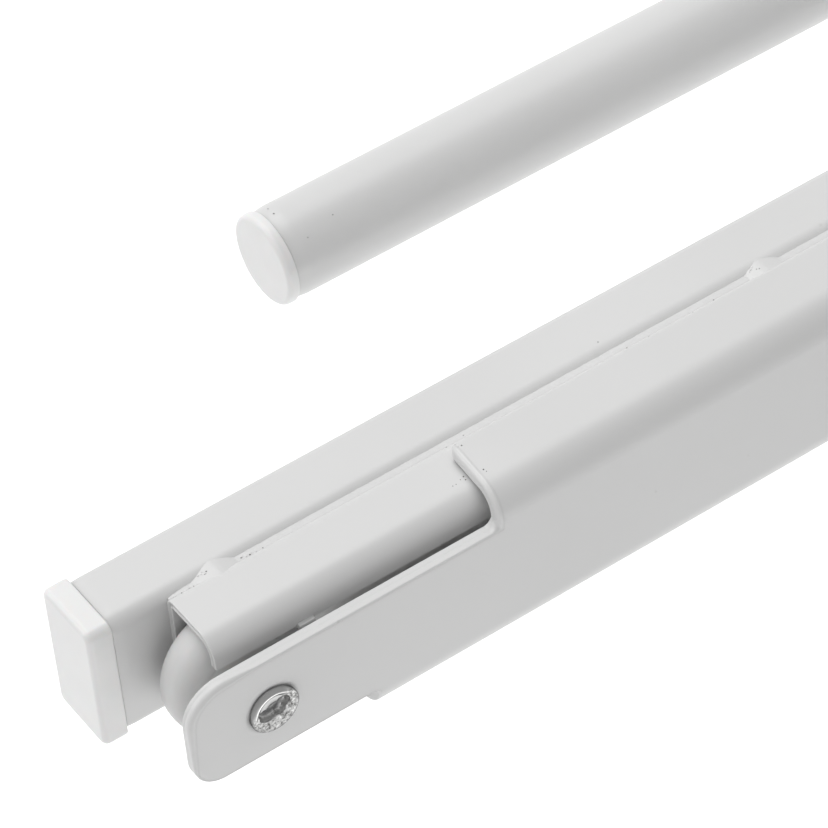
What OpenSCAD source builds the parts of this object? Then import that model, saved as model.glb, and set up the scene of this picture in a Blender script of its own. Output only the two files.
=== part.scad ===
// Pull out trouser rack: a frame of welded steel tubes on two roller slides.
// X runs across the wardrobe, +Y into it, +Z up. The rack is drawn pushed in.

/* [Wardrobe] */
// Clear width between the wardrobe's side panels
clear_width = 714; // [564:1:964]

/* [Side tubes and crossbars] */
// Width of the rectangular tube
tube_w = 10.3; // [9.5:0.1:12]
// Height of the rectangular tube
tube_h = 20; // [19:0.5:25]
// Wall of the rectangular tube
tube_wall = 1.2; // [1:0.1:1.5]
// Outer corner radius of the rectangular tube
tube_corner = 1.6; // [1.5:0.1:2]
// Depth of each crossbar, front to back
bar_depth = 10.3; // [9.5:0.1:14]
// Distance between the front faces of the two crossbars
crossbar_spacing = 90; // [50:1:140]

/* [Hanger rods] */
// Outer diameter of a rod
rod_d = 13.4; // [12:0.1:14]
// Wall of a rod
rod_wall = 1; // [0.8:0.1:1.2]
// Front end of the rods, behind the front end of the side tubes
rod_setback = 57.6; // [20:0.1:80]
// Centre of the outermost rod, inwards from the side tube's outer face
rod_inset = 51.65; // [40:0.05:60]
// Height of the rods' axes above the middle of the side tubes
rod_lift = 0.2; // [0:0.1:0.6]

/* [Tube caps] */
// Thickness of a side tube's cap
cap_t = 3.5; // [2.5:0.1:4]
// How far the cap stands out around the tube
cap_lip = 0.4; // [0.2:0.1:0.6]
// Corner radius of the cap, seen from the front
cap_corner = 1.3; // [1:0.1:2.2]
// Rounding of the cap's face
cap_round = 0.9; // [0.5:0.1:1.8]
// Depth of the cap's plug inside the tube
cap_plug = 10; // [6:0.5:14]
// Thickness of a rod's cap
rod_cap_t = 1.7; // [1.2:0.1:2.5]
// How far the rod's cap stands out around the rod
rod_cap_lip = 0.16; // [0.1:0.02:0.4]
// Rounding of the rod cap's face
rod_cap_round = 1; // [0.5:0.1:1.2]
// Depth of the rod cap's plug inside the rod
rod_cap_plug = 8; // [5:0.5:12]
// Wall of the hollow plugs
plug_wall = 1.5; // [1:0.1:2]
// Corner radius of the side tube's plug
plug_corner = 0.6; // [0.4:0.1:1]

/* [Rack rails] */
// Sheet thickness of the rack rail
rack_sheet = 1.1; // [1:0.1:1.3]
// Width of the rack rail over its top
rack_rail_w = 10.6; // [10.3:0.1:11]
// Height of the rack rail's web
rack_rail_h = 19; // [18:0.5:19]
// Height of the lip that hooks over the roller
lip_h = 4.9; // [4:0.1:5.2]
// Outer radius of the bend beside the tube
inner_bend_r = 1.5; // [1.3:0.1:1.6]
// Outer radius of the bend above the lip
lip_bend_r = 3.2; // [2.5:0.1:3.4]
// Front end of the rack rail, behind the front end of the side tube
rack_rail_setback = 8.1; // [5:0.1:12]
// Rear end of the rack rail's web, behind the rear roller's axle
rack_rail_tail = 7.6; // [6:0.1:8]
// Corner radius of the web's rear end
web_end_r = 7; // [4:0.5:9]
// Centre of the small nub on the lip, behind the front end of the side tube
nub_y = 20.8; // [18:0.1:26]
// Length of the nub
nub_l = 2.2; // [1.5:0.1:3]
// Height of the nub
nub_h = 1.6; // [1:0.1:2]
// How far the nub stands out of the lip
nub_t = 0.6; // [0.3:0.1:0.9]

/* [Cabinet rails] */
// Length of the cabinet rail
rail_length = 500; // [420:1:550]
// Sheet thickness of the cabinet rail
rail_sheet = 1.9; // [1.5:0.1:2]
// Front end of the cabinet rail, behind the front end of the side tube
rail_setback = 1.4; // [0:0.1:3]
// Outer bend radius of the channel
rail_bend_r = 4.5; // [3:0.1:4.8]
// Length of the stretch with no top flange
cutout_l = 47.6; // [44:0.1:60]
// Depth of that stretch, from the top of the rail
cutout_depth = 5.2; // [5:0.1:6]
// Radius at the foot of the cut-out
cutout_r = 2; // [1:0.1:2.5]
// Height of what is left of the web at the front end
nose_h = 16.2; // [15:0.1:16.6]
// Corner radius of the front end
nose_r = 5.7; // [4:0.1:7]
// Length of the stretch with no bottom flange
toe_l = 27; // [25:0.1:30]
// Corner radius of the bottom flange's front end
toe_corner = 1; // [0.5:0.1:2]
// First screw hole, behind the rail's front end
hole_first = 133; // [120:1:140]
// Last screw hole, ahead of the rail's rear end
hole_last = 47; // [30:1:80]
// Diameter of a screw hole
hole_d = 5.2; // [4.2:0.1:6.5]
// Flat strip of the web left above and below a pressed screw seat
seat_margin = 2.1; // [0.4:0.1:3]
// Radius of the ridge that stops the rear roller when the rack is pulled out
ridge_r = 3; // [2.5:0.1:3.5]
// Length of the ridge across the bottom flange
ridge_l = 5.6; // [4:0.1:6.5]
// Wall at each end of the hollow behind the ridge
ridge_end = 0.8; // [0.6:0.1:1]
// Height left free above and below the stop tab at the rail's rear end
tab_margin = 3; // [2:0.5:5]

/* [Rollers] */
// Diameter of a roller
roller_d = 20; // [19.4:0.1:20.2]
// Width of a roller
roller_w = 7.2; // [6.8:0.1:7.4]
// Rounding at the edges of the tread
roller_crown = 3.3; // [1:0.1:3.3]
// Diameter of the axle inside the roller
axle_d = 6; // [5.8:0.1:6.4]
// Diameter of the axle's head
head_d = 9.4; // [8.5:0.1:10]
// Thickness of the axle's head
head_t = 0.95; // [0.7:0.05:1]
// Diameter of the collar between the roller and the sheet
collar_d = 8; // [7.5:0.1:9]
// Diameter of the recess for the head in the roller
recess_d = 10.6; // [10.4:0.1:11.5]
// Depth of that recess
recess_t = 1.3; // [1.2:0.05:1.5]
// Diameter of the rivet shank in the sheet
shank_d = 5.4; // [5:0.1:5.6]
// Diameter of the rivet's flared end
flare_d = 7.1; // [6.4:0.1:8.5]
// How far the flared end stands out of the sheet
flare_t = 0.85; // [0.6:0.05:1]
// Bore of the flared end
flare_bore_d = 4.4; // [3.5:0.1:4.6]
// Depth of that bore
flare_bore_l = 3; // [2:0.1:3.5]
// Front roller's axle, behind the front end of the side tube
front_axle_y = 13.2; // [12.8:0.1:13.6]

/* [Motion] */
// How far the rack pulls out
pull_out = 375; // [300:1:380]

/* [Clearances] */
// Roller to the sheet it runs on
roller_gap = 0.2; // [0.1:0.05:0.4]
// Rear roller to the cabinet rail's top flange
head_gap = 2.2; // [0.5:0.1:2.5]
// Rack rail's top to the cabinet rail's top flange
flange_gap = 0.4; // [0.3:0.05:0.5]
// Rack rail's lip to the cabinet rail's web
side_gap = 1.8; // [1.5:0.1:2.5]
// Rack rail's web to the edges of the cabinet rail's flanges
web_gap = 1.5; // [1.2:0.1:2]
// Roller's outer face to the rack rail's lip
lip_gap = 0.35; // [0.3:0.05:0.5]
// Edges of the cabinet rail's flanges to its ridge and its stop tab
edge_gap = 1; // [0.8:0.1:1.5]
// Rear roller to the rear end of the rack rail's top and to the side tube's end
tube_gap = 1.4; // [1:0.1:3]
// Rear cap's plug to the rear crossbar
plug_gap = 6; // [2:0.5:10]
// Radial play of a roller on its axle
axle_play = 0.05; // [0.03:0.01:0.08]
// Radial play of a rod in the front crossbar's hole
rod_play = 0.1; // [0.05:0.05:0.3]
// Play of the plugs inside the tubes
plug_play = 0.1; // [0.05:0.05:0.2]
// Radial play of a rivet shank in its hole
shank_play = 0.05; // [0.03:0.01:0.1]
// Play left at each end stop
stop_play = 0.2; // [0.1:0.05:0.4]
// Rivet's flared end to the wardrobe's side panel
panel_gap = 0.15; // [0.05:0.05:0.4]

/* [Hidden] */
$fn = 96;
over = 1;

roller_r = roller_d/2;
seat_h = flare_t + panel_gap;
slide_w = rack_rail_w + side_gap + rail_sheet + seat_h;
rack_w = clear_width - 2*slide_w;
face_x = rack_w/2;

// heights, with 0 at the top of the side tubes
channel_top = flange_gap;
channel_h = roller_d + roller_gap + head_gap;
channel_floor = channel_top - channel_h;
rail_top = channel_top + rail_sheet;
rail_bottom = channel_floor - rail_sheet;
rod_z = rod_lift - tube_h/2;
front_axle_z = -rack_sheet - roller_gap - roller_r;
rear_axle_z = channel_floor + roller_gap + roller_r;
hole_z = (rail_top + rail_bottom)/2;
nose_top = rail_top - cutout_depth;
nose_bottom = nose_top - nose_h;
seat_r = channel_h/2 + rail_sheet - rail_bend_r - seat_margin;

// places along the slide, with 0 at the front end of the side tubes
rail_end = rail_setback + rail_length;
rear_axle_y = rail_end - rail_sheet - stop_play - roller_r;
rack_rail_end = rear_axle_y + rack_rail_tail;
flange_end = rear_axle_y - roller_r - tube_gap;
tube_l = flange_end;
rear_bar_y = tube_l - cap_plug - plug_gap;
front_bar_y = rear_bar_y - crossbar_spacing;
hole_pitch = (rail_length - hole_first - hole_last)/2;
ridge_reach = sqrt(pow(roller_r + ridge_r, 2) - pow(rear_axle_z - channel_floor, 2));
ridge_y = rear_axle_y - pull_out - ridge_reach - stop_play;

// places across the slide, with 0 at the side tube's outer face
web_in = rack_rail_w + side_gap;
flange_in = rack_sheet + web_gap;
roller_out = rack_rail_w - rack_sheet - lip_gap;
roller_mid = roller_out - roller_w/2;
roller_in = roller_out - roller_w;
edge_in = flange_in + edge_gap;

rod_count = 8;
rod_pitch = 2*(face_x - rod_inset)/(rod_count - 1);
rod_cap_r = rod_d/2 + rod_cap_lip;

// middle of the whole part, where the frame's origin lies
mid_y = (rail_end - cap_t)/2;
mid_z = (rail_top + min(rail_bottom, -tube_h - cap_lip))/2;

// moves the design's own zero points to the middle of the part
module framed() { translate([0, -mid_y, -mid_z]) children(); }

// places a slide piece, drawn from the tube's outer face, on the right or the left
module on_right() { framed() translate([face_x, 0, 0]) children(); }
module on_left() { mirror([1, 0, 0]) on_right() children(); }

// extrudes an X-Z section from y0 to y1
module along_y(y0, y1) { translate([0, y1, 0]) rotate([90, 0, 0]) linear_extrude(y1 - y0) children(); }

// extrudes a Y-Z section from x0 to x1
module along_x(x0, x1) { translate([x0, 0, 0]) rotate([90, 0, 90]) linear_extrude(x1 - x0) children(); }

// turns a section drawn as [radius, distance along the axis] about a line along X
module about_x(y, z) { translate([0, y, z]) rotate([0, 90, 0]) rotate_extrude() children(); }

// rectangle from (x0, y0) to (x1, y1) with corners of radius r
module rounded(x0, y0, x1, y1, r) {
    translate([x0 + r, y0]) square([x1 - x0 - 2*r, y1 - y0]);
    translate([x0, y0 + r]) square([x1 - x0, y1 - y0 - 2*r]);
    for (x = [x0 + r, x1 - r], y = [y0 + r, y1 - r]) translate([x, y]) circle(r);
}

// ring between a rounded rectangle and the same shape, t further in
module rounded_ring(x0, y0, x1, y1, r, t) {
    difference() {
        rounded(x0, y0, x1, y1, r);
        rounded(x0 + t, y0 + t, x1 - t, y1 - t, max(r - t, 0.3));
    }
}

// cabinet rail: a channel, open towards the rack, cut away at its front end
module rail_section() {
    back = flange_in - 2*rail_bend_r;
    difference() {
        rounded_ring(back, rail_bottom, web_in + rail_sheet, rail_top, rail_bend_r, rail_sheet);
        translate([back - over, rail_bottom - over]) square([flange_in - back + over, channel_h + 4*over + 2*rail_sheet]);
    }
}

// side view of what is left of the channel: web, cut-out, toe and nose
module rail_side() {
    cut_end = rail_setback + cutout_l;
    toe_end = rail_setback + toe_l;
    rounded(rail_setback, nose_bottom, rail_setback + 3*nose_r, nose_top, nose_r);
    translate([rail_setback + 2*nose_r, nose_bottom]) square([rail_length - 2*nose_r, nose_h]);
    translate([cut_end, nose_top - over]) square([rail_end - cut_end, rail_top - nose_top + over]);
    difference() {
        translate([cut_end - cutout_r, nose_top - over]) square([cutout_r + over, cutout_r + over]);
        translate([cut_end - cutout_r, nose_top + cutout_r]) circle(cutout_r);
    }
    rounded(toe_end, rail_bottom, rail_end, nose_bottom + 2*over, toe_corner);
}

// pressed ridge across the bottom flange that stops the rear roller
module ridge() {
    intersection() {
        translate([edge_in, ridge_y, channel_floor]) rotate([0, 90, 0]) cylinder(r = ridge_r, h = ridge_l);
        translate([0, ridge_y - 2*ridge_r, channel_floor - rail_sheet/2])
            cube([web_in, 4*ridge_r, 2*ridge_r]);
    }
}

module ridge_hollow() {
    hollow_r = ridge_r - rail_sheet;
    hollow_l = ridge_l - 2*ridge_end;
    translate([edge_in + ridge_end, ridge_y, channel_floor]) {
        rotate([0, 90, 0]) cylinder(r = hollow_r, h = hollow_l);
        translate([0, -hollow_r, -rail_sheet - over]) cube([hollow_l, 2*hollow_r, rail_sheet + over]);
    }
}

// cone of a screw seat, its wide end of radius r at x, drawn a little ahead of it
module seat_cone(x, r, y) {
    ahead = rail_sheet/4;
    translate([x - ahead, y, hole_z]) rotate([0, 90, 0])
        cylinder(r1 = r + ahead, r2 = r - seat_h, h = seat_h + ahead);
}

module cabinet_rail() {
    hole_y = [for (i = [0:2]) rail_setback + hole_first + i*hole_pitch];
    dish_r = seat_r - (sqrt(2) - 1)*rail_sheet;
    color("gainsboro") difference() {
        union() {
            intersection() {
                along_y(rail_setback, rail_end) rail_section();
                along_x(flange_in - over, web_in + rail_sheet + over) rail_side();
            }
            ridge();
            translate([edge_in, rail_end - rail_sheet, channel_floor + tab_margin])
                cube([web_in - edge_in + rail_sheet/2, rail_sheet, channel_h - 2*tab_margin]);
            for (y = hole_y) seat_cone(web_in + rail_sheet, seat_r, y);
        }
        ridge_hollow();
        translate([web_in - over, front_axle_y, front_axle_z]) rotate([0, 90, 0])
            cylinder(d = shank_d + 2*shank_play, h = rail_sheet + 2*over);
        for (y = hole_y) {
            seat_cone(web_in, dish_r, y);
            translate([web_in - over, y, hole_z]) rotate([0, 90, 0])
                cylinder(d = hole_d, h = rail_sheet + seat_h + 2*over);
        }
    }
}

// roller about a line along X, its recess for the axle's head facing -X
module roller_section() {
    r = roller_r;
    c = roller_crown;
    h = roller_w/2;
    difference() {
        union() {
            translate([0, -h]) square([r - c, roller_w]);
            translate([0, -h + c]) square([r, roller_w - 2*c]);
            for (y = [-h + c, h - c]) translate([r - c, y]) circle(c);
        }
        translate([-r - over, -h - over]) square([r + over + axle_d/2 + axle_play, roller_w + 2*over]);
        translate([-over, h - recess_t]) square([recess_d/2 + over, recess_t + over]);
    }
}

module roller(y, z) {
    color("whitesmoke") translate([roller_mid, 0, 0]) mirror([1, 0, 0]) about_x(y, z) roller_section();
}

// stepped rivet about the X axis: the roller turns between head and collar,
// the collar ends at x = collar_l, and the flared end lies beyond the sheet
module axle(collar_l, sheet) {
    journal_l = roller_w - recess_t + 2*roller_gap;
    color("silver") rotate([0, 90, 0]) difference() {
        union() {
            translate([0, 0, -journal_l - head_t]) cylinder(d = head_d, h = head_t);
            translate([0, 0, -journal_l - head_t]) cylinder(d = axle_d, h = journal_l + head_t + collar_l/2);
            cylinder(d = collar_d, h = collar_l);
            cylinder(d = shank_d, h = collar_l + sheet + flare_t/2);
            translate([0, 0, collar_l + sheet]) cylinder(d = flare_d, h = flare_t);
        }
        translate([0, 0, collar_l + sheet + flare_t - flare_bore_l])
            cylinder(d = flare_bore_d, h = flare_bore_l + over);
    }
}

module front_roller() { roller(front_axle_y, front_axle_z); }

module front_axle() {
    start = roller_out + roller_gap;
    translate([start, front_axle_y, front_axle_z]) axle(web_in - start, rail_sheet);
}

// the rear roller and axle face the other way, because the rack rail carries them
module rear_roller() {
    translate([2*roller_mid, 0, 0]) mirror([1, 0, 0]) roller(rear_axle_y, rear_axle_z);
}

module rear_axle() {
    start = roller_in - roller_gap;
    translate([start, rear_axle_y, rear_axle_z]) mirror([1, 0, 0]) axle(start - rack_sheet, rack_sheet);
}

// rack rail: web against the tube, top over the roller, lip outside it
module rack_rail_section() {
    difference() {
        union() {
            difference() {
                translate([0, -rack_rail_h]) square([rack_rail_w, rack_rail_h]);
                translate([-over, -inner_bend_r]) square([inner_bend_r + over, inner_bend_r + over]);
                translate([rack_rail_w - lip_bend_r, -lip_bend_r]) square([lip_bend_r + over, lip_bend_r + over]);
            }
            translate([inner_bend_r, -inner_bend_r]) circle(inner_bend_r);
            translate([rack_rail_w - lip_bend_r, -lip_bend_r]) circle(lip_bend_r);
        }
        difference() {
            translate([rack_sheet, -rack_rail_h - over])
                square([rack_rail_w - 2*rack_sheet, rack_rail_h + over - rack_sheet]);
            difference() {
                translate([rack_rail_w - lip_bend_r, -lip_bend_r]) square([lip_bend_r, lip_bend_r]);
                translate([rack_rail_w - lip_bend_r, -lip_bend_r]) circle(lip_bend_r - rack_sheet);
            }
        }
        translate([rack_sheet + over, -rack_rail_h - over]) square([rack_rail_w, rack_rail_h + over - lip_h]);
    }
}

module rack_rail() {
    color("gainsboro") {
        difference() {
            union() {
                along_y(rack_rail_setback, flange_end) rack_rail_section();
                intersection() {
                    along_y(flange_end - over, rack_rail_end) rack_rail_section();
                    along_x(-over, rack_sheet)
                        rounded(flange_end - 4*web_end_r, -rack_rail_h, rack_rail_end, 0, web_end_r);
                }
            }
            translate([-over, rear_axle_y, rear_axle_z]) rotate([0, 90, 0])
                cylinder(d = shank_d + 2*shank_play, h = rack_sheet + 2*over);
        }
        translate([rack_rail_w - rack_sheet/2, nub_y - nub_l/2, -lip_h + nub_h/4])
            cube([rack_sheet/2 + nub_t, nub_l, nub_h]);
    }
}

module side_tube() {
    color("gainsboro") along_y(0, tube_l) rounded_ring(-tube_w, -tube_h, 0, 0, tube_corner, tube_wall);
}

// cap with rounded face edges, its face at y = -cap_t and its plug reaching to y = cap_plug
module tube_cap(outer_lip) {
    r = cap_corner;
    c = cap_round;
    g = tube_wall + plug_play;
    color("white") {
        intersection() {
            along_y(-cap_t, 0) rounded(-tube_w - cap_lip, -tube_h - cap_lip, cap_lip, cap_lip, r);
            along_x(-tube_w - cap_lip, outer_lip) rounded(-cap_t, -tube_h - cap_lip, 2*c, cap_lip, c);
            translate([0, 0, -tube_h - cap_lip]) linear_extrude(tube_h + 2*cap_lip)
                rounded(-tube_w - cap_lip, -cap_t, cap_lip, 2*c, c);
        }
        along_y(0, cap_plug) rounded_ring(-tube_w + g, -tube_h + g, -g, -g, plug_corner, plug_wall);
    }
}

module front_cap() { tube_cap(cap_lip); }

// trimmed flush on the side of the rack rail
module rear_cap() { translate([0, tube_l, 0]) mirror([0, 1, 0]) tube_cap(0); }

// crossbar between the side tubes, its front face at y
module crossbar(y) {
    half = face_x - tube_w;
    along_x(-half, half) rounded_ring(y, -tube_h, y + bar_depth, 0, tube_corner, tube_wall);
}

function rod_x(i) = -face_x + rod_inset + (i - 1)*rod_pitch;

module front_crossbar() {
    color("gainsboro") framed() difference() {
        crossbar(front_bar_y);
        for (i = [1:rod_count])
            translate([rod_x(i), front_bar_y + bar_depth + over, rod_z]) rotate([90, 0, 0])
                cylinder(d = rod_d + 2*rod_play, h = bar_depth + 2*over);
    }
}

module rear_crossbar() { color("gainsboro") framed() crossbar(rear_bar_y); }

module rod(i) {
    color("gainsboro") framed() translate([rod_x(i), rear_bar_y, rod_z]) rotate([90, 0, 0]) difference() {
        cylinder(d = rod_d, h = rear_bar_y - rod_setback);
        translate([0, 0, -over]) cylinder(d = rod_d - 2*rod_wall, h = rear_bar_y + 2*over);
    }
}

module rod_cap(i) {
    c = rod_cap_round;
    plug_r = rod_d/2 - rod_wall - plug_play;
    color("white") framed() translate([rod_x(i), rod_setback, rod_z]) rotate([90, 0, 0]) rotate_extrude() {
        square([rod_cap_r, rod_cap_t - c]);
        square([rod_cap_r - c, rod_cap_t]);
        intersection() {
            translate([rod_cap_r - c, rod_cap_t - c]) circle(c);
            square([rod_cap_r, rod_cap_t]);
        }
        difference() {
            translate([0, -rod_cap_plug]) square([plug_r, rod_cap_plug]);
            translate([-over, -rod_cap_plug - over]) square([plug_r - plug_wall + over, rod_cap_plug]);
        }
    }
}

on_left() cabinet_rail();  // cabinet_rail_left
on_right() cabinet_rail();  // cabinet_rail_right
on_left() front_roller();  // front_roller_left
on_right() front_roller();  // front_roller_right
on_left() front_axle();  // front_axle_left
on_right() front_axle();  // front_axle_right
on_left() rack_rail();  // rack_rail_left
on_right() rack_rail();  // rack_rail_right
on_left() rear_roller();  // rear_roller_left
on_right() rear_roller();  // rear_roller_right
on_left() rear_axle();  // rear_axle_left
on_right() rear_axle();  // rear_axle_right
on_left() side_tube();  // side_tube_left
on_right() side_tube();  // side_tube_right
on_left() front_cap();  // front_cap_left
on_right() front_cap();  // front_cap_right
on_left() rear_cap();  // rear_cap_left
on_right() rear_cap();  // rear_cap_right
front_crossbar();
rear_crossbar();
for (i = [1:rod_count]) {
    rod(i);
    rod_cap(i);
}
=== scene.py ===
import math
import random
import bpy
import bmesh
from mathutils import Matrix, Vector, noise


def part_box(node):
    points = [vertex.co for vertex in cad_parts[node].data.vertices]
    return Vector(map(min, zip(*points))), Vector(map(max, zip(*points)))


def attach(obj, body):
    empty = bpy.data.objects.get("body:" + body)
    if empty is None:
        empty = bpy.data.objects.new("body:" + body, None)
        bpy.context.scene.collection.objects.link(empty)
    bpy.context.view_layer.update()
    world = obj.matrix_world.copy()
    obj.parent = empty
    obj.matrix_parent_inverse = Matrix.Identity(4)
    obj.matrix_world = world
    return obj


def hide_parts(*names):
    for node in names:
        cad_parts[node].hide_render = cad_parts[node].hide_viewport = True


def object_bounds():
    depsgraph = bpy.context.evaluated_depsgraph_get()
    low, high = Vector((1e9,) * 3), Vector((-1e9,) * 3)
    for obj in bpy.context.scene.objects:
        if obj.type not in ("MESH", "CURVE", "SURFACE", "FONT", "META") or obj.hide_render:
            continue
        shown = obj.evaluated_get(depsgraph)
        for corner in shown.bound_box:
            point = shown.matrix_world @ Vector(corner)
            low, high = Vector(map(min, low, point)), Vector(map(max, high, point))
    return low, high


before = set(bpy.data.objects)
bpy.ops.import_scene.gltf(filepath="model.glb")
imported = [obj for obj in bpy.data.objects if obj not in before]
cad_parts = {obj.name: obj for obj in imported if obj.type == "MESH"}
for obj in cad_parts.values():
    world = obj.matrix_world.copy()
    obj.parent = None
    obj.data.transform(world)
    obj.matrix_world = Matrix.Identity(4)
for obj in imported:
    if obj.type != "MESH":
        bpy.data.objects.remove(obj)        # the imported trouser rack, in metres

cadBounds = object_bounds()
scene = bpy.context.scene


def boxMm(node):
    low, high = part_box(node)
    return low*1000, high*1000


tubeLow, tubeHigh = boxMm("side_tube_right")
tubeLength = tubeHigh.y - tubeLow.y
zero = Vector((tubeHigh.x, tubeLow.y, tubeHigh.z))      # the right side tube's front end, top and outer face


def localBox(node):      # a right-hand node's box in mm from that corner
    low, high = boxMm(node)
    return low - zero, high - zero


def middle(low, high):      # y and z of a box's centre
    return (low.y + high.y)/2, (low.z + high.z)/2


def settle(bm, side=1):      # from those millimetres to the frame's metres, on either side
    for vert in bm.verts:
        x, y, z = vert.co + zero
        vert.co = (side*x/1000, y/1000, z/1000)


def toMesh(bm, name):
    mesh = bpy.data.meshes.new(name)
    bm.to_mesh(mesh)
    bm.free()
    return mesh


def link(name, data):
    made = bpy.data.objects.new(name, data)
    scene.collection.objects.link(made)
    return made


def settleModifiers(piece):
    graph = bpy.context.evaluated_depsgraph_get()
    done = bpy.data.meshes.new_from_object(piece.evaluated_get(graph))
    piece.modifiers.clear()
    old = piece.data
    piece.data = done
    bpy.data.meshes.remove(old)


def finishPiece(mesh, name, material, body, slotName, nodes, weigh=True, sharp=None):
    mesh.shade_smooth()
    if sharp:
        mesh.set_sharp_from_angle(angle=math.radians(sharp))
    mesh.materials.clear()
    mesh.materials.append(material)
    piece = link(name, mesh)
    if weigh:      # large flat faces keep their own shading beside narrow rounded edges
        mod = piece.modifiers.new("weighted", "WEIGHTED_NORMAL")
        mod.keep_sharp = True
        settleModifiers(piece)
    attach(piece, body)
    if nodes:
        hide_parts(*nodes)


def makePiece(bm, name, material, body, slotName, nodes, side=1, **finish):
    bmesh.ops.remove_doubles(bm, verts=bm.verts, dist=1e-5)
    settle(bm, side)
    bmesh.ops.recalc_face_normals(bm, faces=bm.faces)
    finishPiece(toMesh(bm, name), name, material, body, slotName, nodes, **finish)


def makePair(build, name, material, body, slotName, node, **finish):
    # the right-hand piece and its mirror image; {} stands for the side's name
    for side, word in ((1, "right"), (-1, "left")):
        makePiece(build(), name + "_" + word, material, body.format(word), slotName, [node + "_" + word], side,
                  **finish)


def feed(tree, node, inputs):      # each input gets its plain value, or the socket that feeds it
    for key, value in inputs.items():
        if isinstance(value, bpy.types.NodeSocket):
            tree.links.new(value, node.inputs[key])
        else:
            node.inputs[key].default_value = value
    return node


def addNode(tree, kind, inputs=None, **settings):
    node = tree.nodes.new(kind)
    for name, value in settings.items():
        setattr(node, name, value)
    return feed(tree, node, inputs or {})


def mathNode(tree, operation, *values):
    return addNode(tree, "ShaderNodeMath", dict(enumerate(values)), operation=operation).outputs[0]


shot = {
    "place": (0.315713, -0.150208, 0.382849),      # from the tube's corner, metres
    "turn": 58.126, "down": 45.247, "roll": -4.788,      # degrees
    "lens": 183.89,
}


def makeCamera():
    turn, down, roll = (math.radians(shot[k]) for k in ("turn", "down", "roll"))
    ahead = Vector((-math.sin(turn)*math.cos(down), math.cos(turn)*math.cos(down), -math.sin(down)))
    flat = Vector((math.cos(turn), math.sin(turn), 0))
    up = flat.cross(ahead)
    right = math.cos(roll)*flat + math.sin(roll)*up
    above = -math.sin(roll)*flat + math.cos(roll)*up
    data = bpy.data.cameras.new("camera")
    data.lens = shot["lens"]
    data.sensor_width = 36
    data.sensor_fit = "HORIZONTAL"
    data.clip_start = 0.01
    data.clip_end = 20
    camera = link("camera", data)
    axes = Matrix((right, above, -ahead)).transposed().to_4x4()
    camera.matrix_world = Matrix.Translation(Vector(shot["place"]) + zero/1000) @ axes
    scene.camera = camera
    scene.view_settings.view_transform = "Standard"


lamps = {
    # name: (place, aim, width, height, power)
    "overhead": ((-0.5, -0.2, 1.7), (0.1, 0, 0), 1.6, 1.6, 20.0),
    "frontLeft": ((-0.9, -1.9, 0.9), (0.1, 0, 0), 1.2, 1.2, 11.3),
    "underRight": ((1.15, -0.3, -0.38), (0.3, -0.2, 0), 0.9, 0.35, 2.2),      # like a white card held low
}
sky = {"fill": 0.44, "seen": 1}
white = (1, 1, 1, 1)


def seenRay(tree):      # 1 for what the camera sees, directly or in a shiny surface
    path = addNode(tree, "ShaderNodeLightPath").outputs
    first = mathNode(tree, "MAXIMUM", path["Is Camera Ray"], path["Is Glossy Ray"])
    return mathNode(tree, "MAXIMUM", first, path["Is Transmission Ray"])


def makeLights():
    for name, (place, aim, width, height, power) in lamps.items():
        data = bpy.data.lights.new(name, "AREA")
        data.shape = "RECTANGLE"
        data.size, data.size_y = width, height
        data.energy = power
        lamp = link(name, data)
        lamp.location = place
        lamp.rotation_euler = (Vector(aim) - Vector(place)).to_track_quat("-Z", "Y").to_euler()
    world = bpy.data.worlds.new("studio")
    world.use_nodes = True
    scene.world = world
    tree = world.node_tree
    tree.nodes.clear()
    plain, bright = (addNode(tree, "ShaderNodeBackground", {"Color": white, "Strength": sky[k]}).outputs[0]
                     for k in ("fill", "seen"))
    mix = addNode(tree, "ShaderNodeMixShader", {0: seenRay(tree), 1: plain, 2: bright})
    addNode(tree, "ShaderNodeOutputWorld", {"Surface": mix.outputs[0]})


floorLook = {"size": 8.0, "tone": 0.86, "glow": 0.66, "gap": 0.5}      # the rack hangs clear of it


def makeFloor():
    half, z = floorLook["size"]/2, cadBounds[0].z - floorLook["gap"]
    mesh = bpy.data.meshes.new("floor")
    corners = [(-half, -half, z), (half, -half, z), (half, half, z), (-half, half, z)]
    mesh.from_pydata(corners, [], [(0, 1, 2, 3)])
    material = bpy.data.materials.new("floorWhite")
    material.use_nodes = True
    tree = material.node_tree
    tree.nodes.clear()
    matte = addNode(tree, "ShaderNodeBsdfDiffuse", {"Color": (*[floorLook["tone"]]*3, 1)})
    level = mathNode(tree, "MULTIPLY", seenRay(tree), floorLook["glow"])
    glow = addNode(tree, "ShaderNodeEmission", {"Color": white, "Strength": level})
    both = addNode(tree, "ShaderNodeAddShader", {0: matte.outputs[0], 1: glow.outputs[0]})
    addNode(tree, "ShaderNodeOutputMaterial", {"Surface": both.outputs[0]})
    mesh.materials.append(material)
    link("floor", mesh)


makeCamera()
makeLights()
makeFloor()
print("camera, lights and floor made")


def noiseNode(tree, coords, size, detail=3.0, rough=0.5):      # size of one patch, in metres
    return addNode(tree, "ShaderNodeTexNoise", {"Vector": coords, "Scale": 1/size, "Detail": detail,
                                                "Roughness": rough}).outputs["Fac"]


def rampNode(tree, factor, stops):
    node = addNode(tree, "ShaderNodeValToRGB", {"Fac": factor})
    ramp = node.color_ramp
    while len(ramp.elements) < len(stops):
        ramp.elements.new(0.5)
    for element, (place, colour) in zip(ramp.elements, stops):
        element.position = place
        element.color = (*colour, 1)
    return node.outputs["Color"]


def rangeNode(tree, factor, low, high):
    inputs = {"Value": factor, "To Min": low, "To Max": high}
    return addNode(tree, "ShaderNodeMapRange", inputs).outputs["Result"]


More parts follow.
